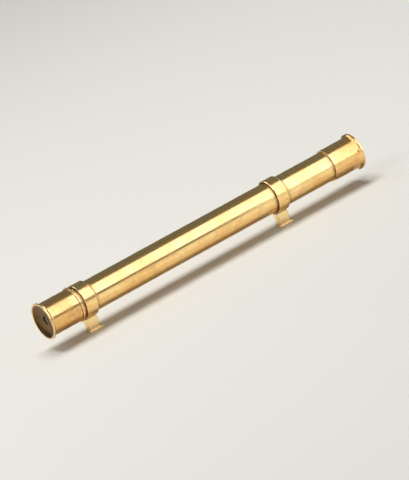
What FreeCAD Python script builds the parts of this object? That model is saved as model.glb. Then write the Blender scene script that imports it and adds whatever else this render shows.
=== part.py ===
import FreeCAD, Part
import math
import os
import re

import Sketcher

# Brass finder telescope on two posts.  Millimetres, +X along the optical axis towards the
# objective, +Z up.  The origin lies on the seat of the feet, midway between the two posts.
# Turned pieces are drawn from their own rear face (local x = 0) and placed at their station.

SIZES = {
    # Where the telescope stands
    "axis_height": 22.5,
    "post_spacing": 169.0,
    "seat_radius": 52.0,
    # Main tube
    "tube_station": -110.0,
    "tube_length": 251.0,
    "tube_radius": 11.25,
    "tube_bore": 10.45,
    # Collars around the tube
    "collar_radius": 12.75,
    "collar_width": 9.4,
    "collar_chamfer": 0.4,
    # Posts and their saddle feet
    "stem_length": 9.0,
    "stem_width": 6.0,
    "stem_rise": 12.0,
    "stem_round": 0.6,
    "foot_length": 12.0,
    "foot_width": 9.0,
    "foot_thickness": 1.2,
    "foot_round": 1.5,
    "foot_block": 4.0,
    "screw_hole_radius": 1.6,
    "screw_hole_depth": 6.5,
    # Objective cell, screwed over the front of the tube
    "cell_station": 132.5,
    "cell_length": 26.0,
    "cell_radius": 12.15,
    "cell_flare_start": 21.6,
    "cell_flare_curve": 3.4,
    "cell_rim_radius": 13.8,
    "cell_rim_width": 1.5,
    "cell_lens_bore": 10.3,
    "cell_shoulder": 22.5,
    "cell_lip": 0.6,
    "cell_aperture": 9.2,
    "cell_mouth": 12.7,
    "cell_mouth_curve": 4.2,
    # Objective doublet
    "objective_radius": 10.25,
    "crown_thickness": 3.2,
    "crown_front_curve": 144.0,
    "inner_curve": 107.0,
    "spacer_width": 0.15,
    "spacer_bore": 9.6,
    "flint_edge": 2.1,
    "retainer_width": 2.4,
    # Glare stops in the tube
    "stop_ring_width": 4.0,
    "stop_ring_wall": 0.5,
    "stop_web": 0.6,
    "front_stop_station": 60.0,
    "front_stop_aperture": 8.0,
    "rear_stop_station": -20.0,
    "rear_stop_aperture": 6.9,
    # Focusing sleeve over the rear of the tube
    "sleeve_station": -115.5,
    "sleeve_length": 24.0,
    "sleeve_radius": 12.25,
    "sleeve_bore": 11.28,
    "bead_radius": 13.1,
    "bead_width": 1.5,
    "bead_round": 0.6,
    # Eye cap, which plugs into the sleeve
    "cap_station": -118.5,
    "cap_length": 6.0,
    "cap_rim_radius": 13.65,
    "cap_rim_width": 1.1,
    "cap_shoulder": 2.9,
    "cap_cove": 2.0,
    "cap_neck_radius": 11.22,
    "cap_dish_radius": 12.5,
    "cap_dish_depth": 2.1,
    "cap_dish_curve": 12.0,
    "cap_seat": 3.1,
    "eye_hole_radius": 3.2,
    # Tube that carries the eyepiece lenses, screwed into the cap
    "lens_tube_length": 30.9,
    "lens_tube_radius": 9.5,
    "lens_tube_bore": 8.7,
    "lens_lip_start": 18.4,
    "lens_lip_width": 1.0,
    "lens_lip_bore": 7.9,
    # Eye lens and its cell
    "eye_cell_length": 2.6,
    "eye_cell_lip": 1.5,
    "eye_cell_aperture": 4.9,
    "eye_lens_radius": 5.5,
    "eye_lens_thickness": 2.2,
    "eye_lens_curve": 14.5,
    # Field lens and its ring
    "field_lens_radius": 8.65,
    "field_lens_thickness": 3.6,
    "field_lens_curve": 16.7,
    "field_ring_width": 1.5,
    "field_ring_bore": 7.6,
    # Field stop with its cross wires
    "field_stop_offset": 26.9,
    "field_stop_width": 2.0,
    "field_stop_bore": 6.0,
    "wire_radius": 0.08,
    "wire_half_length": 8.3,
    "wire_groove_width": 0.24,
    "wire_screw_circle": 7.35,
    "wire_screw_offset": 0.6,
    "wire_screw_head_radius": 0.8,
    "wire_screw_head": 0.6,
    "wire_screw_shank_radius": 0.45,
    "wire_screw_shank": 1.4,
}

# Runs of wire: angle about the optical axis, and whether it lies in grooves in the field stop.
WIRES = {"horizontal_wire": (0, False), "vertical_wire": (90, True)}
POSTS = {"rear": "-post_spacing / 2", "front": "post_spacing / 2"}

SAME = 1e-6           # sizes closer than this count as equal
STEEP = 0.5           # an edge whose direction rises more than this is an upright one

ALONG_X = FreeCAD.Rotation(FreeCAD.Vector(0, 1, 0), 90)
ALONG_Y = FreeCAD.Rotation(FreeCAD.Vector(1, 0, 0), -90)
UPRIGHT = FreeCAD.Rotation()

doc = FreeCAD.newDocument("finder_scope")
nodes = []


def make_sheet():
    sheet = doc.addObject("Spreadsheet::Sheet", "dims")
    for row, (name, number) in enumerate(SIZES.items(), start=1):
        sheet.set(f"A{row}", name)
        sheet.set(f"B{row}", str(number))
        sheet.setAlias(f"B{row}", name)
    doc.recompute()
    return sheet


sheet = make_sheet()


def linked(expression):
    """The expression with each size name pointing at its cell."""
    return re.sub(r"\b(?!sqrt\b)[a-z]\w*", r"dims.\g<0>", expression)


def value(expression):
    """The number that an expression of sizes has now."""
    return float(sheet.evalExpression(linked(expression)))


def bind(obj, **properties):
    """Bind properties to expressions.  A double underscore in a name stands for a dot."""
    for name, expression in properties.items():
        obj.setExpression(name.replace("__", "."), linked(expression))


def place(obj, x="0", y="0", z="0", rotation=UPRIGHT):
    obj.Placement = FreeCAD.Placement(FreeCAD.Vector(0, 0, 0), rotation)
    bind(obj, Placement__Base__x=x, Placement__Base__y=y, Placement__Base__z=z)
    return obj


def as_node(obj, label):
    obj.Label = label
    nodes.append(obj)
    return obj


# ---- building blocks ---------------------------------------------------------------------

def origin_plane(body, role):
    return next(item for item in body.Origin.OriginFeatures if item.Role == role)


def arc_between(start, end, radius, side):
    """Arc between two corners, and the corner that it starts from when it runs anticlockwise.

    side is +1 or -1: the arc bulges to the left or the right of the way from start to end.
    """
    chord = end - start
    bulge = FreeCAD.Vector(-chord.y, chord.x, 0).normalize() * side
    centre = (start + end) / 2 - bulge * math.sqrt(radius ** 2 - (chord.Length / 2) ** 2)
    first, last = (end, start) if side > 0 else (start, end)
    angles = [math.atan2(corner.y - centre.y, corner.x - centre.x) for corner in (first, last)]
    if angles[1] < angles[0]:
        angles[1] += 2 * math.pi
    circle = Part.Circle(centre, FreeCAD.Vector(0, 0, 1), radius)
    return Part.ArcOfCircle(circle, *angles)


def draw_profile(sketch, points, arcs):
    """Closed outline through points, each a pair of expressions (x, radius).

    arcs maps the number of a side to (radius expression, side it bulges to).  An arc that
    bulges left is drawn from its far corner, so its two ends swap.
    """
    corners = [FreeCAD.Vector(value(x), value(radius), 0) for x, radius in points]
    count = len(corners)
    starts, ends = [], []
    for i in range(count):
        start, end = corners[i], corners[(i + 1) % count]
        first, last = 1, 2
        if i in arcs:
            radius, side = arcs[i]
            added = sketch.addGeometry(arc_between(start, end, value(radius), side), False)
            number = sketch.addConstraint(Sketcher.Constraint("Radius", added, value(radius)))
            sketch.setExpression(f"Constraints[{number}]", linked(radius))
            if side > 0:
                first, last = last, first
        else:
            added = sketch.addGeometry(Part.LineSegment(start, end), False)
        starts.append((added, first))
        ends.append((added, last))
    for i, (x, radius) in enumerate(points):
        sketch.addConstraint(Sketcher.Constraint("Coincident", *ends[i - 1], *starts[i]))
        for kind, expression, axis in (("DistanceX", x, -2), ("DistanceY", radius, -1)):
            if expression == "0":
                sketch.addConstraint(Sketcher.Constraint("PointOnObject", *starts[i], axis))
                continue
            rule = Sketcher.Constraint(kind, -1, 1, *starts[i], value(expression))
            number = sketch.addConstraint(rule)
            sketch.setExpression(f"Constraints[{number}]", linked(expression))


def turned(name, station, points, arcs=None):
    """Piece turned about the optical axis, with its rear face at the station."""
    body = doc.addObject("PartDesign::Body", name)
    sketch = body.newObject("Sketcher::SketchObject", name + "_profile")
    sketch.AttachmentSupport = [(origin_plane(body, "XZ_Plane"), "")]
    sketch.MapMode = "FlatFace"
    draw_profile(sketch, points, arcs or {})
    doc.recompute()
    turn = body.newObject("PartDesign::Revolution", name + "_turn")
    turn.Profile = sketch
    turn.ReferenceAxis = (sketch, ["H_Axis"])
    turn.Angle = 360
    doc.recompute()
    return place(body, x=station, z="axis_height")


def ring(name, station, width, bore, radius):
    corners = [("0", bore), (width, bore), (width, radius), ("0", radius)]
    return turned(name, station, corners)


def soften(body, feature, name, size, radius):
    """Dress the edges of a turned body that run round at the given radius."""
    base = body.Tip
    wanted = value(radius)
    edges = [f"Edge{i}" for i, edge in enumerate(base.Shape.Edges, start=1)
             if isinstance(edge.Curve, Part.Circle) and abs(edge.Curve.Radius - wanted) < SAME]
    dress = body.newObject(feature, name)
    dress.Base = (base, edges)
    bind(dress, **size)
    doc.recompute()


def rod(name, radius, length, rotation=ALONG_X, **where):
    cylinder = doc.addObject("Part::Cylinder", name)
    bind(cylinder, Radius=radius, Height=length)
    return place(cylinder, rotation=rotation, **where)


def ball(name, radius, **where):
    sphere = doc.addObject("Part::Sphere", name)
    bind(sphere, Radius=radius)
    return place(sphere, **where)


def block(name, length, width, height, **where):
    box = doc.addObject("Part::Box", name)
    bind(box, Length=length, Width=width, Height=height)
    return place(box, **where)


def cut(name, base, tools):
    """The base less each tool in turn."""
    for i, tool in enumerate(tools):
        last = i == len(tools) - 1
        result = doc.addObject("Part::Cut", name if last else f"{name}_step_{i + 1}")
        result.Base, result.Tool = base, tool
        base = result
    return base


def common(name, shapes):
    result = doc.addObject("Part::MultiCommon", name)
    result.Shapes = shapes
    return result


# ---- tube, collars and posts -------------------------------------------------------------

def make_main_tube():
    tube = ring("main_tube_body", "tube_station", "tube_length", "tube_bore", "tube_radius")
    as_node(tube, "main_tube")


def make_collar(end):
    collar = ring(f"{end}_collar_body", f"{POSTS[end]} - collar_width / 2", "collar_width",
                  "tube_radius", "collar_radius")
    soften(collar, "PartDesign::Chamfer", f"{end}_collar_chamfer", {"Size": "collar_chamfer"},
           "collar_radius")
    as_node(collar, f"{end}_collar")


def screw_hole(name, x):
    return rod(name, "screw_hole_radius", "screw_hole_depth + foot_block",
               UPRIGHT, x=x, z="-foot_block")


def filleted_block(name, box, radius):
    """Box with its four upright edges rounded."""
    doc.recompute()
    upright = [i for i, edge in enumerate(box.Shape.Edges, start=1)
               if abs(edge.tangentAt(edge.FirstParameter).z) > STEEP]
    rounded = doc.addObject("Part::Fillet", name)
    rounded.Base = box
    rounded.Edges = [(i, value(radius), value(radius)) for i in upright]
    return rounded


def make_post(end):
    """Stem between the foot and the collar, hollowed at both ends to fit them."""
    x = POSTS[end]
    stem = filleted_block(f"{end}_stem_rounded",
                          block(f"{end}_stem_block", "stem_length", "stem_width", "stem_rise",
                                x=f"{x} - stem_length / 2", y="-stem_width / 2"),
                          "stem_round")
    over = rod(f"{end}_post_collar_space", "collar_radius", "foot_length",
               x=f"{x} - foot_length / 2", z="axis_height")
    under = rod(f"{end}_post_foot_space", "seat_radius + foot_thickness", "foot_length",
                x=f"{x} - foot_length / 2", z="-seat_radius")
    hole = screw_hole(f"{end}_post_hole", x)
    as_node(cut(f"{end}_post_cut", stem, [over, under, hole]), f"{end}_post")


def make_foot(end):
    """Thin saddle plate, curved to the tube that it stands on."""
    x = POSTS[end]
    plate = filleted_block(f"{end}_foot_rounded",
                           block(f"{end}_foot_block", "foot_length", "foot_width",
                                 "2 * foot_block", x=f"{x} - foot_length / 2",
                                 y="-foot_width / 2", z="-foot_block"),
                           "foot_round")
    reach = {"x": f"{x} - foot_length", "z": "-seat_radius"}
    top = rod(f"{end}_foot_top", "seat_radius + foot_thickness", "2 * foot_length", **reach)
    seat = rod(f"{end}_foot_seat", "seat_radius", "2 * foot_length", **reach)
    hole = screw_hole(f"{end}_foot_hole", x)
    curved = common(f"{end}_foot_curved", [plate, top])
    as_node(cut(f"{end}_foot_cut", curved, [seat, hole]), f"{end}_foot")


def make_glare_stop(end):
    """Blackened ring with a thin web, pushed into the tube."""
    aperture = f"{end}_stop_aperture"
    points = [("0", aperture), ("stop_web", aperture), ("stop_web", "tube_bore - stop_ring_wall"),
              ("stop_ring_width", "tube_bore - stop_ring_wall"),
              ("stop_ring_width", "tube_bore"), ("0", "tube_bore")]
    as_node(turned(f"{end}_stop_body", f"{end}_stop_station", points), f"{end}_glare_stop")


# ---- objective ---------------------------------------------------------------------------

def sag(curve, radius):
    """Depth of a dome of the given curve at a radius, as an expression."""
    return f"({curve} - sqrt({curve} ^ 2 - {radius} ^ 2))"


# The crown's front dome meets the corner of the cell's lip, and its back dome meets the spacer.
CROWN_FRONT = f"cell_station + cell_shoulder + {sag('crown_front_curve', 'cell_aperture')}"
CROWN_BACK = f"{CROWN_FRONT} - crown_thickness"
SPACER_BACK = f"{CROWN_BACK} + {sag('inner_curve', 'spacer_bore')} - spacer_width"
FLINT_BACK = f"{SPACER_BACK} - flint_edge"


def make_objective_cell():
    """Cell with a flared rim.  The tube, the retaining ring and the lenses enter from behind."""
    tube_end = "tube_station + tube_length - cell_station"
    points = [("0", "tube_radius"), (tube_end, "tube_radius"), (tube_end, "cell_lens_bore"),
              ("cell_shoulder", "cell_lens_bore"), ("cell_shoulder", "cell_aperture"),
              ("cell_shoulder + cell_lip", "cell_aperture"), ("cell_length", "cell_mouth"),
              ("cell_length", "cell_rim_radius"),
              ("cell_length - cell_rim_width", "cell_rim_radius"),
              ("cell_flare_start", "cell_radius"), ("0", "cell_radius")]
    arcs = {5: ("cell_mouth_curve", 1), 8: ("cell_flare_curve", 1)}
    as_node(turned("objective_cell_body", "cell_station", points, arcs), "objective_cell")


def make_crown_lens():
    blank = rod("crown_blank", "objective_radius", "crown_thickness")
    front = ball("crown_front", "crown_front_curve", x="crown_thickness - crown_front_curve")
    back = ball("crown_back", "inner_curve", x="inner_curve")
    crown = common("crown_ground", [blank, front, back])
    as_node(place(crown, x=CROWN_BACK, z="axis_height"), "crown_lens")


def make_flint_lens():
    blank = rod("flint_blank", "objective_radius", "flint_edge")
    hollow_depth = sag("inner_curve", "objective_radius")
    hollow = ball("flint_hollow", "inner_curve", x=f"flint_edge + inner_curve - {hollow_depth}")
    flint = cut("flint_ground", blank, [hollow])
    as_node(place(flint, x=FLINT_BACK, z="axis_height"), "flint_lens")


def make_objective_rings():
    spacer = ring("spacer_body", SPACER_BACK, "spacer_width", "spacer_bore", "objective_radius")
    as_node(spacer, "lens_spacer")
    retainer = ring("retainer_body", f"{FLINT_BACK} - retainer_width", "retainer_width",
                    "cell_aperture", "cell_lens_bore")
    as_node(retainer, "objective_retainer")


# ---- eyepiece ----------------------------------------------------------------------------

LENS_TUBE = "cap_station + cap_seat"
LENS_LIP_FRONT = f"{LENS_TUBE} + lens_lip_start + lens_lip_width"
FIELD_STOP = f"{LENS_TUBE} + field_stop_offset"
WIRE_FACE = f"{FIELD_STOP} + field_stop_width"


def make_eye_sleeve():
    """Plain sleeve that slides on the tube, with a raised bead round its mouth."""
    bead = "sleeve_length - bead_width"
    points = [("0", "sleeve_bore"), ("sleeve_length", "sleeve_bore"),
              ("sleeve_length", "bead_radius"), (bead, "bead_radius"), (bead, "sleeve_radius"),
              ("0", "sleeve_radius")]
    sleeve = turned("eye_sleeve_body", "sleeve_station", points)
    soften(sleeve, "PartDesign::Fillet", "bead_rounding", {"Radius": "bead_round"}, "bead_radius")
    as_node(sleeve, "eye_sleeve")


def make_eye_cap():
    """Flanged cap with a dished face, an eye hole, and a neck that plugs into the sleeve."""
    points = [("cap_dish_depth", "eye_hole_radius"), ("cap_seat", "eye_hole_radius"),
              ("cap_seat", "lens_tube_radius"), ("cap_length", "lens_tube_radius"),
              ("cap_length", "cap_neck_radius"), ("cap_shoulder", "cap_neck_radius"),
              ("cap_shoulder", "sleeve_radius"), ("cap_rim_width", "cap_rim_radius"),
              ("0", "cap_rim_radius"), ("0", "cap_dish_radius")]
    arcs = {6: ("cap_cove", 1), 9: ("cap_dish_curve", 1)}
    as_node(turned("eye_cap_body", "cap_station", points, arcs), "eye_cap")


def make_lens_tube():
    """Tube with an inner lip that the field lens rests on."""
    lip_end = "lens_lip_start + lens_lip_width"
    points = [("0", "lens_tube_bore"), ("lens_lip_start", "lens_tube_bore"),
              ("lens_lip_start", "lens_lip_bore"), (lip_end, "lens_lip_bore"),
              (lip_end, "lens_tube_bore"), ("lens_tube_length", "lens_tube_bore"),
              ("lens_tube_length", "lens_tube_radius"), ("0", "lens_tube_radius")]
    as_node(turned("lens_tube_body", LENS_TUBE, points), "lens_tube")


def make_eye_lens():
    """Flat side to the eye, held against the cap by its cell."""
    blank = rod("eye_lens_blank", "eye_lens_radius", "eye_lens_thickness")
    dome = ball("eye_lens_dome", "eye_lens_curve", x="eye_lens_thickness - eye_lens_curve")
    lens = common("eye_lens_ground", [blank, dome])
    as_node(place(lens, x=LENS_TUBE, z="axis_height"), "eye_lens")
    points = [("0", "eye_lens_radius"), ("eye_cell_lip", "eye_lens_radius"),
              ("eye_cell_lip", "eye_cell_aperture"), ("eye_cell_length", "eye_cell_aperture"),
              ("eye_cell_length", "lens_tube_bore"), ("0", "lens_tube_bore")]
    as_node(turned("eye_cell_body", LENS_TUBE, points), "eye_lens_cell")


def make_field_lens():
    """Domed side to the eye.  The dome meets the corner of the lens tube's inner lip."""
    rear = f"{LENS_LIP_FRONT} - {sag('field_lens_curve', 'lens_lip_bore')}"
    blank = rod("field_lens_blank", "field_lens_radius", "field_lens_thickness")
    dome = ball("field_lens_dome", "field_lens_curve", x="field_lens_curve")
    lens = common("field_lens_ground", [blank, dome])
    as_node(place(lens, x=rear, z="axis_height"), "field_lens")
    holder = ring("field_ring_body", f"{rear} + field_lens_thickness", "field_ring_width",
                  "field_ring_bore", "lens_tube_bore")
    as_node(holder, "field_lens_retainer")


def around_axis(angle, outward, sideways):
    """Height and side expressions of a point turned about the optical axis by a quarter turn."""
    if angle == 0:
        return {"y": outward, "z": f"axis_height + {sideways}"}
    return {"y": sideways, "z": f"axis_height + {outward}"}


def wire_screw_places():
    """Side, height and face of each screw that clamps an end of a wire."""
    for angle, sunk in WIRES.values():
        face = WIRE_FACE if sunk else f"{WIRE_FACE} + 2 * wire_radius"
        for end in ("wire_screw_circle", "(-wire_screw_circle)"):
            yield around_axis(angle, end, "wire_screw_offset"), face


def make_field_stop():
    """Ring with a wire groove across its front face and four blind screw holes."""
    base = ring("field_stop_ring", FIELD_STOP, "field_stop_width", "field_stop_bore",
                "lens_tube_bore")
    groove = block("wire_groove", "2 * wire_radius", "wire_groove_width", "2 * lens_tube_bore",
                   x=f"{WIRE_FACE} - 2 * wire_radius", y="-wire_groove_width / 2",
                   z="axis_height - lens_tube_bore")
    holes = [rod(f"wire_screw_hole_{i}", "wire_screw_shank_radius", "wire_screw_shank",
                 x=f"{WIRE_FACE} - wire_screw_shank", **where)
             for i, (where, _) in enumerate(wire_screw_places(), start=1)]
    as_node(cut("field_stop_cut", base, [groove] + holes), "field_stop")


def make_wires():
    for name, (angle, sunk) in WIRES.items():
        x = f"{WIRE_FACE} - wire_radius" if sunk else f"{WIRE_FACE} + wire_radius"
        wire = rod(name + "_rod", "wire_radius", "2 * wire_half_length",
                   UPRIGHT if angle else ALONG_Y, x=x,
                   **around_axis(angle, "(-wire_half_length)", "0"))
        as_node(wire, name)


def make_wire_screws():
    screws = []
    for i, (where, face) in enumerate(wire_screw_places(), start=1):
        head = rod(f"wire_screw_head_{i}", "wire_screw_head_radius", "wire_screw_head",
                   x=face, **where)
        shank = rod(f"wire_screw_shank_{i}", "wire_screw_shank_radius", "wire_screw_shank",
                    x=f"{face} - wire_screw_shank", **where)
        screw = doc.addObject("Part::Fuse", f"wire_screw_{i}")
        screw.Base, screw.Tool = head, shank
        screws.append(screw)
    group = doc.addObject("Part::Compound", "wire_screw_group")
    group.Links = screws
    as_node(group, "wire_screws")


# ---- whole telescope ---------------------------------------------------------------------

def make_all():
    make_main_tube()
    for end in POSTS:
        make_collar(end)
        make_post(end)
        make_foot(end)
        make_glare_stop(end)
    make_objective_cell()
    make_crown_lens()
    make_flint_lens()
    make_objective_rings()
    make_eye_sleeve()
    make_eye_cap()
    make_lens_tube()
    make_eye_lens()
    make_field_lens()
    make_field_stop()
    make_wires()
    make_wire_screws()
    doc.recompute()


def check_all():
    for obj in doc.Objects:
        if "Invalid" in obj.State or "Error" in obj.State:
            raise RuntimeError(f"{obj.Name} did not recompute: {obj.State}")
    for node in nodes:
        if node.Shape.isNull() or not node.Shape.isValid() or not node.Shape.Solids:
            raise RuntimeError(f"{node.Label} has no valid solid")


def write_all():
    os.makedirs("parts", exist_ok=True)
    for node in nodes:
        node.Shape.exportStep(f"parts/{node.Label}.step")
        box = node.Shape.optimalBoundingBox()
        print(f"{node.Label:20s} {len(node.Shape.Solids)} solid(s) {node.Shape.Volume:9.2f} mm3  "
              f"x {box.XMin:8.2f} to {box.XMax:8.2f}")


make_all()
check_all()
write_all()
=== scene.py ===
import math

import bmesh
import bpy
from mathutils import Matrix, Vector


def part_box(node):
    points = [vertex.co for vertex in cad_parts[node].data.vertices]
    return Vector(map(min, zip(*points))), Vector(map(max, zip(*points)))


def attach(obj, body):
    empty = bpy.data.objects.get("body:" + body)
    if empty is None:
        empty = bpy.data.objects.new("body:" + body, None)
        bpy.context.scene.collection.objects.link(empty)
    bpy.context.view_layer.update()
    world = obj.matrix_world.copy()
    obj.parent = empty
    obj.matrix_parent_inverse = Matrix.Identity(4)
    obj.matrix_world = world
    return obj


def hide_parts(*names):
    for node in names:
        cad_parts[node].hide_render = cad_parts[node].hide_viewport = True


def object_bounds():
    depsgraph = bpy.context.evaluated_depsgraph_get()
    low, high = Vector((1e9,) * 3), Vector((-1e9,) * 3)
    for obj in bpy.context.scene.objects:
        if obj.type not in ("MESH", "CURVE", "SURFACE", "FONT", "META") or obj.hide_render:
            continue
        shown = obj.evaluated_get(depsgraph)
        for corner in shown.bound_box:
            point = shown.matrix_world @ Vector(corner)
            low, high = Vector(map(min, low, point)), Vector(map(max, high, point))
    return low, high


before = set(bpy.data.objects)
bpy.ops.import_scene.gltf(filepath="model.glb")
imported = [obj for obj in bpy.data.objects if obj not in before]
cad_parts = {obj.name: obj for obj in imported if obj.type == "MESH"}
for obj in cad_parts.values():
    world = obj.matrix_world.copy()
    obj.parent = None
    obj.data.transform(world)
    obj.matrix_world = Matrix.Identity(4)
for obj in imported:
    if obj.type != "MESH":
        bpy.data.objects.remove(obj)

# Brass finder telescope. Shapes are drawn in millimetres and turned into metres by MM. The
# optical axis runs along +X, and each turned piece is drawn from its own rear face.

MM = 0.001
AROUND = 224          # points round a turned piece
CAD_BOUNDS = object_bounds()


def extent(node):
    """Rear face of a turned node in metres, and its length and radius in millimetres."""
    low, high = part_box(node)
    return low.x, (high.x - low.x) / MM, (high.z - low.z) / 2 / MM


tube_low, tube_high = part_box("main_tube")
AXIS_HEIGHT = (tube_low.z + tube_high.z) / 2
TUBE_RADIUS = extent("main_tube")[2]
COLLAR_RADIUS = extent("front_collar")[2]
TUBE_BORE = 10.45


# ---- meshes ------------------------------------------------------------------------------

def finish_mesh(name, vertices, faces, marks, material, face_materials=None):
    """Smooth closed mesh.  marks holds its point attributes, edge and recess, from 0 to 1."""
    mesh = bpy.data.meshes.new(name)
    mesh.from_pydata(vertices, [], faces)
    for column, title in enumerate(("edge", "recess")):
        layer = mesh.attributes.new(title, "FLOAT", "POINT")
        layer.data.foreach_set("value", [mark[column] for mark in marks])
    for item in material if isinstance(material, (list, tuple)) else [material]:
        mesh.materials.append(item)
    mesh.polygons.foreach_set("use_smooth", [True] * len(faces))
    if face_materials:
        mesh.polygons.foreach_set("material_index", face_materials)
    mesh.update()
    piece = bpy.data.objects.new(name, mesh)
    bpy.context.scene.collection.objects.link(piece)
    normals = piece.modifiers.new("face_weighted_normals", "WEIGHTED_NORMAL")
    normals.weight = 60
    return piece


def arc(start, end, radius, steps=10):
    """Corners between start and end on an arc that bulges to the left, with no rounding."""
    start, end = Vector(start), Vector(end)
    chord = end - start
    bulge = Vector((-chord.y, chord.x)).normalized()
    centre = (start + end) / 2 - bulge * math.sqrt(radius ** 2 - (chord.length / 2) ** 2)
    first, last = start - centre, end - centre
    turn = first.angle_signed(last)
    points = []
    for step in range(1, steps):
        angle = -turn * step / steps
        spoke = Matrix.Rotation(angle, 2) @ first
        points.append((*(centre + spoke), 0))
    return points


FLANKS = ((0.10, 0.55), (0.45, 0.15), (1.2, 0.0))   # distance from a rounded corner, mark there
ROUND_STEPS = 6
ROUND_SHARE = 0.45    # most of a side that one rounding takes
FLANK_SHARE = 0.48    # most of a side that a rounding and its flank take


def rounded_outline(corners):
    """Outline with its corners rounded: rows of (x, radius, edge, recess).

    corners holds (x, radius, rounding).  A corner with no rounding is kept as it is.
    """
    flat = [Vector(corner[:2]) for corner in corners]
    count = len(corners)
    area = sum(a.x * b.y - a.y * b.x for a, b in zip(flat, flat[1:] + flat[:1]))
    rows = []
    for i, (corner, point) in enumerate(zip(corners, flat)):
        before, after = flat[i - 1] - point, flat[(i + 1) % count] - point
        rounding = corner[2]
        if not rounding:
            rows.append((point.x, point.y, 0.0, 0.0))
            continue
        cross = -before.x * after.y + before.y * after.x
        convex = cross * area > 0
        reach = rounding / math.tan(before.angle(after) / 2)
        reach = min(reach, ROUND_SHARE * before.length, ROUND_SHARE * after.length)

        def add(place, mark):
            rows.append((place.x, place.y, mark if convex else 0.0, 0.0 if convex else mark))

        def flank(way):
            return [(point + way.normalized() * (reach + far), mark) for far, mark in FLANKS
                    if reach + far < FLANK_SHARE * way.length]

        for place, mark in reversed(flank(before)):
            add(place, mark)
        start, end = point + before.normalized() * reach, point + after.normalized() * reach
        for step in range(ROUND_STEPS + 1):
            s = step / ROUND_STEPS
            add(start * (1 - s) ** 2 + point * 2 * s * (1 - s) + end * s ** 2, 1.0)
        for place, mark in flank(after):
            add(place, mark)
    return rows


DIRT_AND_SHADE_REACH = 3.0      # how far dirt and painted shade spread along the tube from a piece that meets it
DIRT_AND_SHADE_FALL = 1.2       # how fast it fades


def with_dirt_and_shade(rows, places):
    """Add rows with marks of dirt and painted shade where other pieces meet the outline's long
    outer side.
    """
    outer = max(radius for _, radius, _, _ in rows)
    offsets = (-DIRT_AND_SHADE_REACH, -DIRT_AND_SHADE_REACH / 3, 0, DIRT_AND_SHADE_REACH / 3, DIRT_AND_SHADE_REACH)
    stops = {place + offset for place in places for offset in offsets}
    found = []
    for i, row in enumerate(rows):
        found.append(row)
        after = rows[(i + 1) % len(rows)]
        if row[1] < outer - 1e-6 or after[1] < outer - 1e-6:
            continue
        low, high = sorted((row[0], after[0]))
        backward = after[0] < row[0]
        for stop in sorted((stop for stop in stops if low < stop < high), reverse=backward):
            nearest = min(abs(stop - place) for place in places)
            found.append((stop, outer, 0.0, max(0.0, 1 - nearest / DIRT_AND_SHADE_REACH) ** DIRT_AND_SHADE_FALL))
    return found


def ring(rear, x, radius):
    """Points round the optical axis, in metres."""
    angles = [2 * math.pi * k / AROUND for k in range(AROUND)]
    return [(rear + x * MM, radius * MM * math.cos(angle),
             AXIS_HEIGHT + radius * MM * math.sin(angle)) for angle in angles]


def turned(name, rear, outline, material, tint=None):
    """Ring-shaped piece turned about the optical axis.

    tint is an optional test of (x, radius) that picks the second material.
    """
    vertices, marks, faces, picks = [], [], [], []
    for x, radius, edge, recess in outline:
        vertices += ring(rear, x, radius)
        marks += [(edge, recess)] * AROUND
    count = len(outline)
    for i in range(count):
        j = (i + 1) % count
        middle = [(outline[i][axis] + outline[j][axis]) / 2 for axis in (0, 1)]
        picks += [1 if tint and tint(*middle) else 0] * AROUND
        for k in range(AROUND):
            n = (k + 1) % AROUND
            faces.append((i * AROUND + k, i * AROUND + n, j * AROUND + n, j * AROUND + k))
    return outward(finish_mesh(name, vertices, faces, marks, material, picks))


def lens(name, rear, outline, material):
    """Solid piece turned about the axis.  The outline starts and ends on the axis."""
    vertices, faces = [(rear + outline[0][0] * MM, 0, AXIS_HEIGHT)], []
    for x, radius in outline[1:-1]:
        vertices += ring(rear, x, radius)
    vertices.append((rear + outline[-1][0] * MM, 0, AXIS_HEIGHT))
    last = len(vertices) - 1
    rings = len(outline) - 2
    for k in range(AROUND):
        n = (k + 1) % AROUND
        faces.append((0, 1 + n, 1 + k))
        for i in range(rings - 1):
            a, b = 1 + i * AROUND, 1 + (i + 1) * AROUND
            faces.append((a + k, a + n, b + n, b + k))
        end = 1 + (rings - 1) * AROUND
        faces.append((end + k, end + n, last))
    return outward(finish_mesh(name, vertices, faces, [(0.0, 0.0)] * len(vertices), material))


def outward(piece):
    """Turn the faces to point out of the solid."""
    work = bmesh.new()
    work.from_mesh(piece.data)
    bmesh.ops.recalc_face_normals(work, faces=work.faces)
    work.to_mesh(piece.data)
    work.free()
    return piece


def skinned(name, loops, marks, material, capped):
    """Solid skinned over closed loops of equal length.

    It is capped at both ends, or else its last loop is joined to its first.
    """
    size, count = len(loops[0]), len(loops)
    vertices = [point for loop in loops for point in loop]
    point_marks = [mark for mark in marks for _ in range(size)]
    faces = []
    for i in range(count - 1 if capped else count):
        here, there = i * size, (i + 1) % count * size
        for k in range(size):
            n = (k + 1) % size
            faces.append((here + k, here + n, there + n, there + k))
    if capped:
        faces += [tuple(range(size)), tuple(range((count - 1) * size, count * size))]
    return outward(finish_mesh(name, vertices, faces, point_marks, material))


CORNER_STEPS = 12
SIDE_STEPS = 8


def rounded_rectangle(length, width, radius):
    """Points round a rectangle with rounded corners, centred on the origin."""

    def on_corner(centre, quarters):
        angle = math.pi / 2 * quarters
        return centre + radius * Vector((math.cos(angle), math.sin(angle)))

    points = []
    half = Vector((length / 2 - radius, width / 2 - radius))
    for quarter, (sx, sy) in enumerate(((1, 1), (-1, 1), (-1, -1), (1, -1))):
        centre = Vector((half.x * sx, half.y * sy))
        for step in range(CORNER_STEPS + 1):
            points.append(on_corner(centre, quarter + step / CORNER_STEPS))
        following = Vector(((half.x * -sx, half.y * sy), (half.x * sx, half.y * -sy))[quarter % 2])
        target = on_corner(following, quarter + 1)
        for step in range(1, SIDE_STEPS):
            points.append(points[-1].lerp(target, 1 / (SIDE_STEPS - step + 1)))
    return points


# ---- materials ---------------------------------------------------------------------------

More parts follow.
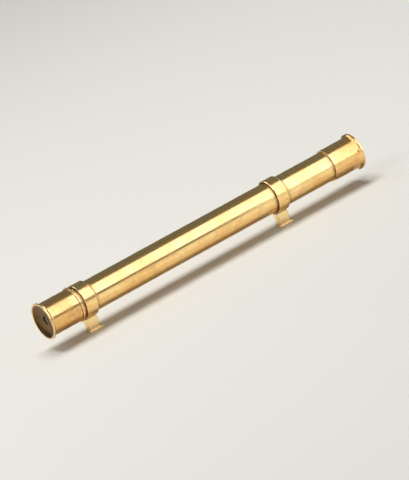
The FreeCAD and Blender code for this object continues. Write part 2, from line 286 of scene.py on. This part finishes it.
class Shader:
    """Small helper that adds nodes to a material and joins them."""

    def __init__(self, name):
        self.material = bpy.data.materials.new(name)
        self.material.use_nodes = True
        self.tree = self.material.node_tree
        self.surface = self.tree.nodes["Principled BSDF"]

    def add(self, kind, inputs=None, **settings):
        node = self.tree.nodes.new(kind)
        for key, setting in settings.items():
            setattr(node, key, setting)
        for key, source in (inputs or {}).items():
            self.join(source, node.inputs[key])
        return node

    def join(self, source, socket):
        if isinstance(source, bpy.types.NodeSocket):
            self.tree.links.new(source, socket)
        else:
            socket.default_value = source

    def math(self, operation, first, second=0.0, clamp=False):
        node = self.add("ShaderNodeMath", {0: first, 1: second}, operation=operation)
        node.use_clamp = clamp
        return node.outputs[0]

    def mix(self, factor, first, second):
        """Blend two colours, which are inputs 6 and 7 and output 2 of the Mix node."""
        node = self.add("ShaderNodeMix", {"Factor": factor}, data_type="RGBA")
        self.join(first, node.inputs[6])
        self.join(second, node.inputs[7])
        return node.outputs[2]

    def place(self, scale):
        """Object coordinates stretched by a scale along each axis."""
        coordinates = self.add("ShaderNodeTexCoord").outputs["Object"]
        return self.add("ShaderNodeMapping", {"Vector": coordinates, "Scale": scale}).outputs[0]

    def noise(self, scale, detail=3.0, roughness=0.55, distortion=0.0):
        node = self.add("ShaderNodeTexNoise", {"Vector": self.place(scale), "Scale": 1.0,
                                               "Detail": detail, "Roughness": roughness,
                                               "Distortion": distortion})
        return node.outputs["Fac"]

    def spread(self, source, low, high, to_low=0.0, to_high=1.0):
        """Stretch a value's range, and clip it."""
        return self.add("ShaderNodeMapRange", {"Value": source, "From Min": low,
                                               "From Max": high, "To Min": to_low,
                                               "To Max": to_high}).outputs[0]

    def mark(self, title):
        return self.add("ShaderNodeAttribute", attribute_name=title).outputs["Fac"]

    def bump(self, height, strength, distance, before=None):
        """Normal bent by a height.  distance is in metres."""
        inputs = {"Height": height, "Strength": strength, "Distance": distance}
        if before is not None:
            inputs["Normal"] = before
        return self.add("ShaderNodeBump", inputs).outputs[0]

    def set(self, **sockets):
        """Join sources to the surface, with _ for a space in the name of a socket."""
        for title, source in sockets.items():
            self.join(source, self.surface.inputs[title.replace("_", " ")])


def specks(shader, scale, size, share):
    """Small round spots: 1 inside a spot, 0 outside.  share is how many cells hold one."""
    cells = shader.add("ShaderNodeTexVoronoi", {"Vector": shader.place((scale,) * 3),
                                                "Scale": 1.0, "Randomness": 1.0})
    near = shader.spread(cells.outputs["Distance"], size, size * 0.4)
    pick = shader.add("ShaderNodeSeparateColor", {"Color": cells.outputs["Color"]})
    chosen = shader.math("LESS_THAN", pick.outputs[0], share)
    return shader.math("MULTIPLY", near, chosen)


def brass(name, pale, deep, grain, polish, age):
    """Lacquered brass.

    grain is the stretch of its fine tool marks, polish its least and greatest roughness before
    stains, and age the strength of its stains.
    """
    shader = Shader(name)
    cloud = shader.spread(shader.noise((55, 55, 55), detail=4), 0.32, 0.68)
    blotch = shader.spread(shader.noise((150, 150, 150), detail=4, roughness=0.6,
                                        distortion=0.6), 0.50, 0.72)
    stain = shader.spread(shader.noise((420, 420, 420), detail=5, roughness=0.6), 0.54, 0.76)
    marks = shader.noise(grain, detail=2)
    fine = shader.noise(tuple(2.7 * s for s in grain), detail=1)
    spots = shader.math("MAXIMUM", specks(shader, 520, 0.16, 0.10),
                        specks(shader, 170, 0.13, 0.14))
    recess, edge = shader.mark("recess"), shader.mark("edge")

    rough_edge = shader.spread(shader.noise((900, 900, 900), detail=2), 0.30, 0.60)
    worn = shader.math("MULTIPLY", edge, rough_edge)
    patchy = shader.spread(shader.noise((420, 420, 420), detail=3), 0.25, 0.62, 0.5)
    # Crevices and joins are darkened towards tarnish: dirt, and painted shade where light is
    # blocked.
    crevice_dirt_and_shade = shader.math("MULTIPLY", recess, patchy)
    aged = shader.math("MULTIPLY", shader.math("MAXIMUM", blotch, stain), 0.22 * age)
    grime_and_shade = shader.math("MAXIMUM", shader.math("MULTIPLY", crevice_dirt_and_shade, 0.95), aged)
    grime_and_shade = shader.math("MAXIMUM", grime_and_shade, shader.math("MULTIPLY", spots, 0.5), clamp=True)

    colour = shader.mix(cloud, pale, deep)
    colour = shader.mix(shader.math("MULTIPLY", marks, 0.22), colour, deep)
    # Stains and specks are tarnish; in crevices this darkening is painted shade as well as dirt.
    colour = shader.mix(grime_and_shade, colour, TARNISH_AND_SHADE)
    colour = shader.mix(shader.math("MULTIPLY", worn, 0.6), colour, WORN)

    low, high = polish
    roughness = shader.spread(shader.math("ADD", cloud, marks), 0.3, 1.7, low, high)
    roughness = shader.math("ADD", roughness, shader.math("MULTIPLY", grime_and_shade, 0.35), clamp=True)

    normal = shader.bump(marks, 0.10, 0.00006)
    normal = shader.bump(fine, 0.06, 0.00003, normal)
    normal = shader.bump(shader.noise((38, 38, 38), detail=1), 0.22, 0.00030, normal)
    normal = shader.bump(grime_and_shade, 0.12, 0.00003, normal)
    shader.set(Base_Color=colour, Metallic=1.0, Roughness=roughness, Normal=normal,
               Coat_Weight=0.12, Coat_Roughness=0.08)
    return shader.material


def blackened(name, base, warm, polish):
    """Chemically darkened brass, rubbed back to a brown metal at its edges."""
    shader = Shader(name)
    cloud = shader.spread(shader.noise((130, 130, 130), detail=4), 0.30, 0.70)
    rings = shader.noise((5200, 60, 60), detail=1)
    rubbed = shader.math("MULTIPLY", shader.mark("edge"), cloud)
    colour = shader.mix(shader.math("MULTIPLY", cloud, 0.6), base, warm)
    colour = shader.mix(rubbed, colour, RUBBED)
    low, high = polish
    normal = shader.bump(rings, 0.10, 0.00005)
    shader.set(Base_Color=colour, Metallic=1.0,
               Roughness=shader.spread(cloud, 0.0, 1.0, low, high), Normal=normal)
    return shader.material


def optical_glass(name, colour, index):
    """Polished glass with a trace of dust."""
    shader = Shader(name)
    dust = shader.spread(shader.noise((700, 700, 700), detail=4), 0.55, 0.85)
    tinted = shader.mix(shader.math("MULTIPLY", dust, 0.05), colour, DUST)
    shader.set(Base_Color=tinted, Roughness=shader.spread(dust, 0.0, 1.0, 0.0, 0.10),
               IOR=index, Transmission_Weight=1.0)
    return shader.material


def bright_wire(name):
    """Drawn silver wire."""
    shader = Shader(name)
    streaks = shader.noise((3000, 3000, 3000), detail=2)
    shader.set(Base_Color=shader.mix(streaks, (0.78, 0.77, 0.75, 1.0), (0.55, 0.53, 0.50, 1.0)),
               Metallic=1.0, Roughness=shader.spread(streaks, 0.2, 0.8, 0.2, 0.4))
    return shader.material


# Paler brass for the posts and feet, partly a painted sheen that brightens their faces.
POST_SHEEN_PALE = (1.0, 0.78, 0.40, 1.0)
PALE = (0.98, 0.69, 0.30, 1.0)
DEEP = (0.92, 0.54, 0.18, 1.0)
DULL = (0.86, 0.47, 0.15, 1.0)
# tarnish for stains and specks, and the colour of painted shade in crevices
TARNISH_AND_SHADE = (0.16, 0.075, 0.025, 1.0)
WORN = (1.0, 0.80, 0.47, 1.0)          # brass rubbed bright at its edges
RUBBED = (0.50, 0.33, 0.13, 1.0)       # brass that shows through its blackening
DUST = (0.80, 0.79, 0.74, 1.0)
ALONG_TUBE = (26, 2300, 2300)
ROUND_TUBE = (2600, 40, 40)
ALL_WAYS = (900, 900, 900)

tube_brass = brass("tube_brass", PALE, DEEP, ALONG_TUBE, (0.13, 0.24), 1.0)
turned_brass = brass("turned_brass", PALE, DEEP, ROUND_TUBE, (0.14, 0.27), 1.0)
handled_brass = brass("handled_brass", PALE, DULL, ROUND_TUBE, (0.13, 0.25), 1.3)
# The posts' brass is paler than the tube's: partly a painted sheen.
post_brass = brass("post_brass", POST_SHEEN_PALE, PALE, ALL_WAYS, (0.17, 0.30), 0.8)
# The eye cap's dish is coloured dark brown with this shader.
dark_brown_dish = blackened("dark_brown_dish", (0.10, 0.052, 0.016, 1.0), (0.30, 0.160, 0.048, 1.0),
                        (0.24, 0.42))
black_brass = blackened("blackened_brass", (0.012, 0.011, 0.010, 1.0),
                        (0.045, 0.034, 0.024, 1.0), (0.45, 0.65))
crown_glass = optical_glass("crown_glass", (0.95, 0.99, 0.97, 1.0), 1.52)
flint_glass = optical_glass("flint_glass", (0.99, 0.98, 0.93, 1.0), 1.62)
silver_wire = bright_wire("silver_wire")


# ---- telescope body ----------------------------------------------------------------------

def stand_in(piece, node, body="telescope"):
    """Put a piece in a node's place and the body it rides on."""
    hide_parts(node)
    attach(piece, body)


def make_main_tube():
    rear, length, _ = extent("main_tube")
    outline = rounded_outline([(0, TUBE_BORE, 0.1), (length, TUBE_BORE, 0.1),
                               (length, TUBE_RADIUS, 0.12), (0, TUBE_RADIUS, 0.12)])
    # Dirt and painted shade darken the tube next to each piece that meets it.
    meets = [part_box("objective_cell")[0].x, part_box("eye_sleeve")[1].x]
    for node in ("rear_collar", "front_collar"):
        meets += [corner.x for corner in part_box(node)]
    places = [(x - rear) / MM for x in meets]
    piece = turned("tube", rear, with_dirt_and_shade(outline, places), tube_brass)
    stand_in(piece, "main_tube")


def make_collar(node):
    """Chamfered ring with dirt and painted shade all over its two side faces."""
    rear, width, _ = extent(node)
    inner, outer, chamfer = TUBE_RADIUS, COLLAR_RADIUS, 0.4
    outline = rounded_outline([(0, inner, 0), (width, inner, 0), (width, outer - chamfer, 0.12),
                               (width - chamfer, outer, 0.2), (chamfer, outer, 0.2),
                               (0, outer - chamfer, 0.12)])
    # Both side faces get the full recess mark: dirt, and painted shade for the dark they reflect.
    outline = [(x, radius, edge, 1.0 if radius < outer - chamfer else recess)
               for x, radius, edge, recess in outline]
    piece = turned(node + "_ring", rear, outline, turned_brass)
    stand_in(piece, node)


# ---- posts and feet ----------------------------------------------------------------------

SEAT_RADIUS = 52.0        # hollow of the feet, which fits the tube that carries them
FOOT_THICKNESS = 1.2
FOOT_CORNER = 1.5
FOOT_EDGE = 0.3           # rounding of a foot's upper edge, twice that of its lower edge
STEM_CORNER = 0.6
SCREW_HOLE_RADIUS = 1.6
SCREW_HOLE_DEPTH = 6.5    # from the foot's seat at its middle
THREAD_LOOPS = 10
THREAD_DEPTH = 0.16
SOLDER = 0.55             # size of the solder fillets at both ends of a stem
SUNK_IN_FOOT = 0.02       # how far a stem's ends reach into their neighbours
SUNK_IN_COLLAR = 0.03
FILLET_STEPS = 6


def foot_top(y):
    """Height of the foot's curved top at a distance from the middle plane, millimetres."""
    return math.sqrt((SEAT_RADIUS + FOOT_THICKNESS) ** 2 - y ** 2) - SEAT_RADIUS


def foot_seat(y):
    """Height of the foot's hollow seat, likewise."""
    return math.sqrt(SEAT_RADIUS ** 2 - y ** 2) - SEAT_RADIUS


def collar_underside(y):
    """Height of the lower side of a collar, likewise."""
    return AXIS_HEIGHT / MM - math.sqrt(COLLAR_RADIUS ** 2 - y ** 2)


def grown(points, by):
    """Loop of points moved outward by a distance, kept round at the corners."""
    count = len(points)
    moved = []
    for i, point in enumerate(points):
        along = points[(i + 1) % count] - points[i - 1]
        moved.append(point + Vector((along.y, -along.x)).normalized() * by)
    return moved


class Upright:
    """Post or foot: loops round its screw hole and its section, with a mark for each."""

    def __init__(self, node, corner):
        low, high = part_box(node)
        self.node = node
        self.middle = (low.x + high.x) / 2
        self.section = rounded_rectangle((high.x - low.x) / MM, (high.y - low.y) / MM, corner)
        angles = [math.atan2(point.y, point.x) for point in self.section]
        self.circle = [Vector((math.cos(a), math.sin(a))) for a in angles]
        self.loops, self.marks = [], []

    def add(self, points, height, mark):
        """Add a loop.  height gives its height from y, the distance from the middle plane."""
        self.loops.append([(self.middle + p.x * MM, p.y * MM, height(p.y) * MM) for p in points])
        self.marks.append(mark)

    def hole(self, radius=SCREW_HOLE_RADIUS):
        return [c * radius for c in self.circle]

    def between(self, share):
        """Loop a share of the way from the screw hole out to the section."""
        return [c.lerp(s, share) for c, s in zip(self.hole(), self.section)]

    def finish(self, name, capped):
        # Posts and feet take the paler brass, partly a painted sheen.
        piece = skinned(name, self.loops, self.marks, post_brass, capped)
        stand_in(piece, self.node)


def quarter_turns(steps):
    """Sine and cosine of angles from 0 to a right angle."""
    angles = [math.pi / 2 * step / steps for step in range(steps + 1)]
    return [(math.sin(angle), math.cos(angle)) for angle in angles]


def make_post(end):
    """Stem drawn from the blind end of its screw hole, down and out, then up to the collar."""
    post = Upright(end + "_post", STEM_CORNER)
    post.add(post.hole(), lambda y: SCREW_HOLE_DEPTH, (0.0, 1.0))
    for step in range(THREAD_LOOPS):
        radius = SCREW_HOLE_RADIUS - (THREAD_DEPTH if step % 2 else 0.0)
        fall = (SCREW_HOLE_DEPTH - FOOT_THICKNESS) * (step + 1) / THREAD_LOOPS
        post.add(post.hole(radius), lambda y: SCREW_HOLE_DEPTH - fall, (0.0, 0.6))
    for share in (0.25, 0.55, 0.85):
        post.add(post.between(share), lambda y: foot_top(y) - SUNK_IN_FOOT, (0.0, 0.4))
    # The recess marks at the stem's ends darken where it meets the foot and the collar: dirt and
    # painted shade.
    for step, (sine, cosine) in enumerate(quarter_turns(FILLET_STEPS)):   # from the foot up
        rise = SOLDER * (1 - cosine)
        post.add(grown(post.section, SOLDER * (1 - sine)),
                 lambda y: foot_top(y) + rise - SUNK_IN_FOOT,
                 (0.0, 1.0 - 0.6 * step / FILLET_STEPS))
    for share in (0.08, 0.3, 0.5, 0.7, 0.92):
        post.add(post.section,
                 lambda y: (foot_top(y) + SOLDER) * (1 - share)
                 + (collar_underside(y) - SOLDER) * share,
                 (0.25 if 0.2 < share < 0.8 else 0.0, 0.0))
    for step, (sine, cosine) in enumerate(quarter_turns(FILLET_STEPS)):   # out to the collar
        drop = SOLDER * (1 - sine)
        post.add(grown(post.section, SOLDER * (1 - cosine)),
                 lambda y: collar_underside(y) - drop + SUNK_IN_COLLAR,
                 (0.0, 0.4 + 0.6 * step / FILLET_STEPS))
    for share in (0.6, 0.2):
        post.add([s * share for s in post.section],
                 lambda y: collar_underside(y) + SUNK_IN_COLLAR, (0.0, 1.0))
    post.finish(end + "_stem", capped=True)


def make_foot(end):
    """Saddle from the hole out along its seat, round its edge and back along its top."""
    foot = Upright(end + "_foot", FOOT_CORNER)
    for share in (0.0, 0.3, 0.6, 0.85):
        foot.add(foot.between(share), foot_seat, (0.0, 0.0))
    for sine, cosine in quarter_turns(4):
        rise = FOOT_EDGE * (1 - cosine) / 2
        foot.add(grown(foot.section, -FOOT_EDGE * (1 - sine) / 2),
                 lambda y: foot_seat(y) + rise, (0.6, 0.0))
    for sine, cosine in quarter_turns(6):
        drop = FOOT_EDGE * (1 - sine)
        foot.add(grown(foot.section, -FOOT_EDGE * (1 - cosine)),
                 lambda y: foot_top(y) - drop, (1.0, 0.0))
    foot.add(grown(foot.section, -FOOT_EDGE - 0.12), foot_top, (0.5, 0.0))
    foot.add(grown(foot.section, -FOOT_EDGE - 0.6), foot_top, (0.0, 0.1))
    for share in (0.6, 0.45, 0.3, 0.15, 0.0):
        foot.add(foot.between(share), foot_top, (0.0, 1.0))
    foot.finish(end + "_saddle", capped=False)


# ---- objective ---------------------------------------------------------------------------

CELL_RADIUS = 12.15
CELL_APERTURE = 9.2       # radius, like every bore and hole here
LENS_BORE = 10.3
CELL_SHOULDER = 22.5      # from the cell's rear face, as are the next two
CELL_LIP = 23.1
FLARE_START = 21.6
FLARE_CURVE = 3.4
RIM_WIDTH = 1.5
MOUTH_RADIUS = 12.7
MOUTH_CURVE = 4.2
LENS_RADIUS = 10.25
LENS_BEVEL = 0.15
CROWN_CURVE = 144.0       # front of the crown
SHARED_CURVE = 107.0      # back of the crown and front of the flint


def make_objective_cell():
    rear, length, rim = extent("objective_cell")
    tube_end = (tube_high.x - rear) / MM
    lip, mouth = (CELL_LIP, CELL_APERTURE), (length, MOUTH_RADIUS)
    flare = [(length - RIM_WIDTH, rim), (FLARE_START, CELL_RADIUS)]
    corners = [(0, TUBE_RADIUS, 0.1), (tube_end, TUBE_RADIUS, 0.1), (tube_end, LENS_BORE, 0.1),
               (CELL_SHOULDER, LENS_BORE, 0.1), (CELL_SHOULDER, CELL_APERTURE, 0.08),
               (*lip, 0.1), *arc(lip, mouth, MOUTH_CURVE), (*mouth, 0.15),
               (length, rim, 0.35), (*flare[0], 0.35), *arc(*flare, FLARE_CURVE),
               (*flare[1], 0), (0, CELL_RADIUS, 0.15)]
    piece = turned("cell", rear, rounded_outline(corners), handled_brass)
    stand_in(piece, "objective_cell")


def dome(x, curve, radius, facing, steps=14):
    """Outline of a ground surface from the axis out.  facing is +1 where it bulges forward."""
    points = []
    for step in range(steps + 1):
        r = radius * step / steps
        depth = curve - math.sqrt(curve ** 2 - r ** 2)
        points.append((x - facing * depth, r))
    return points


def make_objective_lenses():
    polished = LENS_RADIUS - LENS_BEVEL
    rear, thick, _ = extent("crown_lens")
    sides = [(dome(x, curve, LENS_RADIUS, facing)[-1][0], LENS_RADIUS)
             for x, curve, facing in ((0, SHARED_CURVE, -1), (thick, CROWN_CURVE, 1))]
    outline = (dome(0, SHARED_CURVE, polished, -1) + sides
               + dome(thick, CROWN_CURVE, polished, 1)[::-1])
    stand_in(lens("crown", rear, outline, crown_glass), "crown_lens")

    rear, edge, _ = extent("flint_lens")
    hollow = edge - (SHARED_CURVE - math.sqrt(SHARED_CURVE ** 2 - LENS_RADIUS ** 2))
    outline = ([(0, 0), (0, 4), (0, 8), (0, polished), (LENS_BEVEL, LENS_RADIUS),
                (edge, LENS_RADIUS)] + dome(hollow, SHARED_CURVE, polished, -1)[::-1])
    stand_in(lens("flint", rear, outline, flint_glass), "flint_lens")


# ---- eyepiece ----------------------------------------------------------------------------

SLEEVE_RADIUS = 12.25
SLEEVE_BORE = 11.28
SLEEVE_REACH = 0.07       # how far the sleeve goes back past its node, almost to the cap
BEAD_WIDTH = 1.5
NECK_RADIUS = 11.22
LENS_TUBE_RADIUS = 9.5
EYE_HOLE = 3.2
CAP_RIM_WIDTH = 1.1
CAP_SHOULDER = 2.9
CAP_SEAT = 3.1
COVE_CURVE = 2.0
DISH_RADIUS = 12.5
DISH_DEPTH = 2.1
DISH_CURVE = 12.0
DISH_STEPS = 24


def make_eye_sleeve():
    rear, length, bead = extent("eye_sleeve")
    edge, start = -SLEEVE_REACH, length - BEAD_WIDTH
    corners = [(edge, SLEEVE_BORE, 0.1), (length, SLEEVE_BORE, 0.1), (length, bead, 0.6),
               (start, bead, 0.6), (start, SLEEVE_RADIUS, 0.12), (edge, SLEEVE_RADIUS, 0.06)]
    piece = turned("sleeve", rear, rounded_outline(corners), handled_brass)
    stand_in(piece, "eye_sleeve", "focus_sleeve")


def make_eye_cap():
    """Cap with a coved flange and a dish round its eye hole.  The dish is coloured dark brown."""
    rear, length, rim = extent("eye_cap")
    cove = [(CAP_SHOULDER, SLEEVE_RADIUS), (CAP_RIM_WIDTH, rim)]
    hollow = [(0, DISH_RADIUS), (DISH_DEPTH, EYE_HOLE)]
    corners = [(CAP_SEAT, EYE_HOLE, 0.1), (CAP_SEAT, LENS_TUBE_RADIUS, 0.1),
               (length, LENS_TUBE_RADIUS, 0.1), (length, NECK_RADIUS, 0.12),
               (CAP_SHOULDER, NECK_RADIUS, 0.08), (*cove[0], 0.05), *arc(*cove, COVE_CURVE),
               (*cove[1], 0.25), (0, rim, 0.5), (*hollow[0], 0.5),
               *arc(*hollow, DISH_CURVE, DISH_STEPS)[2:], (*hollow[1], 0.12)]

    def in_dish(x, radius):
        return EYE_HOLE - 0.2 < radius < DISH_RADIUS - 0.25 and x < CAP_SEAT - 0.1

    piece = turned("cap", rear, rounded_outline(corners), [handled_brass, dark_brown_dish], in_dish)
    stand_in(piece, "eye_cap", "eyepiece")


def make_eye_lens():
    rear, thick, _ = extent("eye_lens")
    radius, bevel, curve = 5.5, 0.12, 14.5
    edge = dome(thick, curve, radius, 1)[-1][0]
    outline = ([(0, 0), (0, 2), (0, 4), (0, radius - bevel), (bevel, radius), (edge, radius)]
               + dome(thick, curve, radius - bevel, 1)[::-1])
    piece = lens("eye_glass", rear, outline, crown_glass)
    stand_in(piece, "eye_lens", "eyepiece")


def make_field_lens():
    rear, thick, _ = extent("field_lens")
    radius, bevel, curve = 8.65, 0.12, 16.7
    edge = dome(0, curve, radius, -1)[-1][0]
    outline = (dome(0, curve, radius - bevel, -1, 20)
               + [(edge, radius), (thick - bevel, radius), (thick, radius - bevel),
                  (thick, 6), (thick, 3), (thick, 0)])
    piece = lens("field_glass", rear, outline, crown_glass)
    stand_in(piece, "field_lens", "eyepiece")


def dress_inner_nodes():
    """Inner pieces keep their shape and take a better material."""
    finishes = {
        black_brass: ("front_glare_stop", "rear_glare_stop", "lens_tube", "eye_lens_cell",
                      "field_lens_retainer", "field_stop"),
        turned_brass: ("lens_spacer", "objective_retainer", "wire_screws"),
        silver_wire: ("horizontal_wire", "vertical_wire"),
    }
    for material, names in finishes.items():
        for name in names:
            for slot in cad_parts[name].material_slots:
                slot.material = material


# ---- studio ------------------------------------------------------------------------------

FLOOR_REACH = 4.0
WARM = (1.0, 0.98, 0.94)
SURROUNDINGS = (0.165, 0.185, 0.18, 1.0)
CAMERA_DISTANCE = 2.29
LENS_LENGTH = 245.0       # focal length in millimetres


def make_floor():
    low, high, level = -FLOOR_REACH, FLOOR_REACH, CAD_BOUNDS[0][2]
    mesh = bpy.data.meshes.new("floor")
    mesh.from_pydata([(low, low, level), (high, low, level), (high, high, level),
                      (low, high, level)], [], [(0, 1, 2, 3)])
    floor = bpy.data.objects.new("floor", mesh)
    bpy.context.scene.collection.objects.link(floor)
    shader = Shader("floor_paper")
    cloud = shader.noise((2.5, 2.5, 2.5), detail=2)
    colour = shader.mix(cloud, (0.81, 0.79, 0.76, 1.0), (0.78, 0.76, 0.73, 1.0))
    shader.set(Base_Color=colour, Roughness=0.85, Specular_IOR_Level=0.0)
    mesh.materials.append(shader.material)


def soft_light(name, place, aim, size, radiance, colour=(1.0, 1.0, 1.0)):
    """Rectangular soft light, unseen by the camera.  radiance is how bright its face looks."""
    light = bpy.data.lights.new(name, "AREA")
    light.shape = "RECTANGLE"
    light.size, light.size_y = size
    light.energy = radiance * math.pi * size[0] * size[1]
    light.color = colour
    lamp = bpy.data.objects.new(name, light)
    bpy.context.scene.collection.objects.link(lamp)
    lamp.location = place
    lamp.rotation_euler = (Vector(aim) - Vector(place)).to_track_quat("-Z", "Y").to_euler()
    lamp.visible_camera = False
    return lamp


def around(azimuth, elevation, distance):
    """Point at a distance from the middle of the axis.  Azimuth 0 is on the -Y side."""
    turn, lift = math.radians(azimuth), math.radians(elevation)
    return Vector((distance * math.cos(lift) * math.sin(turn),
                   -distance * math.cos(lift) * math.cos(turn),
                   AXIS_HEIGHT + distance * math.sin(lift)))


def card(*settings):
    """Soft light that is seen only as a reflection."""
    soft_light(*settings).visible_diffuse = False


def make_lights():
    centre = Vector((0, 0, AXIS_HEIGHT))
    key_side = Vector((0.6, 0, 0))
    card("front_softbox", around(0, 47.5, 1.2) + key_side, centre + key_side, (2.2, 1.6), 2.0,
         (0.86, 0.85, 1.0))
    low = Vector((0.55, -0.5, 0.085))
    card("low_card", low, low + Vector((0, 1, 0)), (0.44, 0.125), 2.4, (0.80, 0.92, 1.0))
    card("side_card", around(-38, 19, 1.5), centre, (1.3, 1.0), 1.1, WARM)
    card("left_card", around(-112, 62, 1.5), centre, (1.3, 1.1), 1.3)
    strip = Vector((0.24, -0.14, 0.0003))      # flat on the floor, in front of the tube
    card("bounce_card", strip, strip + Vector((0, 0, 1)), (0.62, 0.21), 0.23, (0.66, 0.88, 1.0))
    card("far_card", around(120, 24, 1.6), centre, (0.6, 0.4), 4.5)
    soft_light("eye_end_light", around(-75, 40, 1.6), centre, (0.5, 0.5), 4.0)
    soft_light("back_light", around(-150, 40, 1.6), centre, (0.7, 0.4), 2.0)
    ceiling = soft_light("ceiling", around(180, 85, 2.3), centre, (1.5, 1.2), 7.9, WARM)
    ceiling.visible_glossy = False             # lights the floor and is never reflected
    world = bpy.data.worlds.new("studio")
    world.use_nodes = True
    world.node_tree.nodes["Background"].inputs["Color"].default_value = SURROUNDINGS
    bpy.context.scene.world = world


def make_camera():
    """Camera in the direction and at the distance of the photo's, rolled as that one was."""
    toward = Vector((-0.4427, -0.8540, 0.2737)).normalized()
    upward = Vector((0.4700, 0.1397, 0.8716))
    low, high = (Vector(corner) for corner in CAD_BOUNDS)
    target = (low + high) / 2
    right = upward.cross(toward).normalized()
    upward = toward.cross(right)
    optics = bpy.data.cameras.new("camera")
    optics.lens = LENS_LENGTH
    optics.clip_start = 0.01
    camera = bpy.data.objects.new("camera", optics)
    bpy.context.scene.collection.objects.link(camera)
    turn = Matrix((right, upward, toward)).transposed().to_4x4()
    camera.matrix_world = Matrix.Translation(target + toward * CAMERA_DISTANCE) @ turn
    bpy.context.scene.camera = camera


make_main_tube()
for end in ("rear", "front"):
    make_collar(end + "_collar")
    make_post(end)
    make_foot(end)
make_objective_cell()
make_objective_lenses()
make_eye_sleeve()
make_eye_cap()
make_eye_lens()
make_field_lens()
dress_inner_nodes()
make_floor()
make_lights()
make_camera()
bpy.context.scene.view_settings.view_transform = "Standard"
